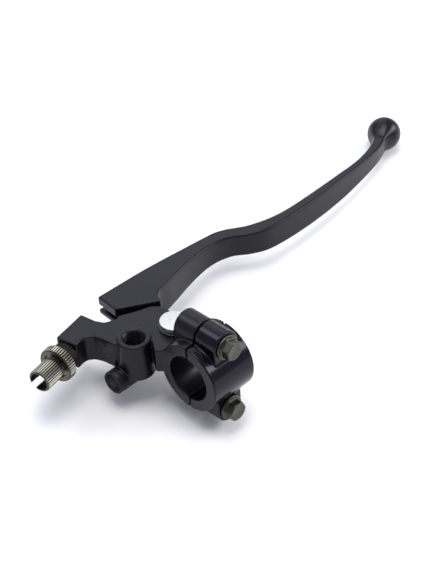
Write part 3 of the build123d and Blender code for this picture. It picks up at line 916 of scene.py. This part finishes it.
# ---------------------------------------------------------------------------
# Cable adjuster
# ---------------------------------------------------------------------------
def knurled(name, place, radius, depth, length, ridges, along):
    """A straight-knurled shaft on the cable's line, from a place inwards."""
    return grown(name, shaft_tree, place, cable_in, radius=radius * MM, depth=depth * MM, length=length * MM,
                 ridges=float(ridges), twist=0.0, lead_in=0.5 * MM, around=12 * ridges, along=along,
                 finish=gunmetal)


slot_lean = radians(46)
slot_way = np.array([0, 0, -cos(slot_lean)]) - sin(slot_lean) * np.array([cable_in[1], -cable_in[0], 0])
before_mouth = barrel_mouth - cable_in
barrel = knurled("adjuster_barrel", barrel_mouth, barrel_radius, barrel_knurl, barrel_length, 30, 24)
barrel_thread = threaded("thread", adjuster_thread, 1.25, thread_length + 0.5,
                         barrel_mouth + cable_in * (barrel_length - 0.5), cable_in, gunmetal)
barrel = carved(barrel, barrel_thread, "UNION")
bores = ((mouth_radius, mouth_depth), (casing_radius, mouth_depth + casing_depth), (wire_radius, 60))
for radius, depth in bores:
    barrel = carved(barrel, plug("bore", before_mouth, cable_in, radius, depth + 1))
slot_width, slot_depth = barrel_slot
slot_place = before_mouth + slot_way * 2 * barrel_radius
slot_size = (4 * barrel_radius, slot_width, slot_depth + 1)
barrel = carved(barrel, brick("slot", slot_place, cable_in, slot_way, slot_size))
fitted(softened(barrel, 0.12, 2, 60), gunmetal, "adjuster_barrel_body", "gunmetal_steel", "adjuster_barrel")

ring_place = block_face + cable_out * (dust_length + ring_length)
lock_ring = knurled("adjuster_lock_ring", ring_place, ring_radius, ring_knurl, ring_length, 44, 14)
for radius, depth in ((adjuster_thread + 0.05, 10), ring_recess):
    lock_ring = carved(lock_ring, plug("bore", ring_place - cable_in, cable_in, radius, depth + 1))
fitted(lock_ring, gunmetal, "adjuster_ring_body", "gunmetal_steel", "adjuster_lock_ring")
ring("adjuster_dust_washer", dust_radius, adjuster_thread + 0.05, block_face + cable_out * dust_length,
     cable_in, dust_length, 0.5, black_rubber, "perch_assembly", "black_rubber")

# ---------------------------------------------------------------------------
# Clutch switch
# ---------------------------------------------------------------------------
switch_line = np.array([0, *switch[1:]])
chamber = (-16.0, 0.0)
switch_left, switch_right = switch_low[0], switch_high[0]
flange_edge = (switch_high[1] - switch_low[1]) / 2
wall_inside = switch_body - 0.9
terminal_low, terminal_high = corners("switch_terminal_front")
terminal_spread = middle("switch_terminal_front")[1] - switch[1]
terminal_wide = terminal_high - terminal_low


def on_switch(x):
    return switch_line + np.array([x, 0, 0])


housing = turned("switch_housing", [
    (0, 0.5), (flange_edge - 1.0, 0.5), (flange_edge - 0.7, 0.1), (flange_edge - 0.2, 0.1), (flange_edge, 0.4),
    (flange_edge, switch_flange - 0.2), (flange_edge - 0.2, switch_flange), (switch_body, switch_flange),
    (switch_body, switch_right - switch_left - 0.3), (switch_body - 0.3, switch_right - switch_left),
    (1.65, switch_right - switch_left), (1.65, 24.0), (0, 24.0)], on_switch(switch_left), along_bar)
chamber_length = chamber[1] - chamber[0]
housing = carved(housing, plug("chamber", on_switch(chamber[0]), along_bar, wall_inside, chamber_length))
housing = carved(housing, plug("seal_seat", on_switch(chamber[1] - 0.1), along_bar, 2.75, 1.15))
for side in (-1, 1):
    place = on_switch(terminal_low[0]) + side * np.array([0, terminal_spread, 0])
    slot_size = (*terminal_wide[1:], chamber[0] - terminal_low[0] + 0.5)
    housing = carved(housing, brick("slot", place, along_bar, forward, slot_size))
for turn in range(8):
    across = (0, cos(pi * turn / 8), sin(pi * turn / 8))
    rib = brick("rib", on_switch(switch_left + 0.2), along_bar, across, (2 * flange_edge - 2.2, 0.35, 0.5))
    housing = carved(housing, rib, "UNION")
fitted(housing, black_plastic, "perch_assembly", "black_plastic", "switch_housing")

for node, body in (("switch_terminal_rear", "perch_assembly"), ("switch_terminal_front", "perch_assembly"),
                   ("switch_contact_bridge", "switch_plunger_body")):
    low, high = corners(node)
    start = np.array([low[0], *middle(node)[1:]])
    length, width, height = high - low
    strip = brick(node, start, along_bar, forward, (width - 0.02, height - 0.02, length))
    fitted(softened(strip, 0.12, 2), brass, body, "brass", node)

plunger_low, plunger_high = corners("switch_plunger")
plunger_radius, plunger_head, head_length = 1.6, 2.9, 2.2
plunger_length = plunger_high[0] - plunger_low[0]
plunger = turned("switch_plunger", [
    (0, 0), (plunger_head, 0), (plunger_head, head_length), (plunger_radius, head_length),
    (plunger_radius, plunger_length), (0, plunger_length)], on_switch(plunger_low[0]), along_bar)
fitted(softened(plunger, 0.3), black_plastic, "switch_plunger_body", "black_plastic", "switch_plunger")

spring_low, spring_high = corners("switch_return_spring")
spring_radius, spring_wire = 1.2, 0.18
spring_length = spring_high[0] - spring_low[0] - 2 * spring_wire
coil = grown("switch_return_spring", spring_tree, on_switch(spring_low[0] + spring_wire), along_bar,
             radius=spring_radius * MM, wire=spring_wire * MM, length=spring_length * MM,
             turns=7.0, steps=40, finish=spring_steel)
fitted(coil, spring_steel, "perch_assembly", "spring_steel", "switch_return_spring")
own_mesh(coil)

seal_radius, section = 2.2, 0.5
seal_profile = [(seal_radius + section * cos(-tau * i / 20), section + section * sin(-tau * i / 20))
                for i in range(20)]
seal = turned("switch_seal", seal_profile, on_switch(corners("switch_seal")[0][0]), along_bar)
fitted(seal, black_rubber, "perch_assembly", "black_rubber", "switch_seal")

# ---------------------------------------------------------------------------
# Thread in the mirror boss
# ---------------------------------------------------------------------------
tap = threaded("tap", mirror_radius + 0.1, 1.25, mirror_depth, (*mirror, mirror_top - mirror_depth), upward,
               satin_black, around=64)
carved(perch, tap, degrees=100)
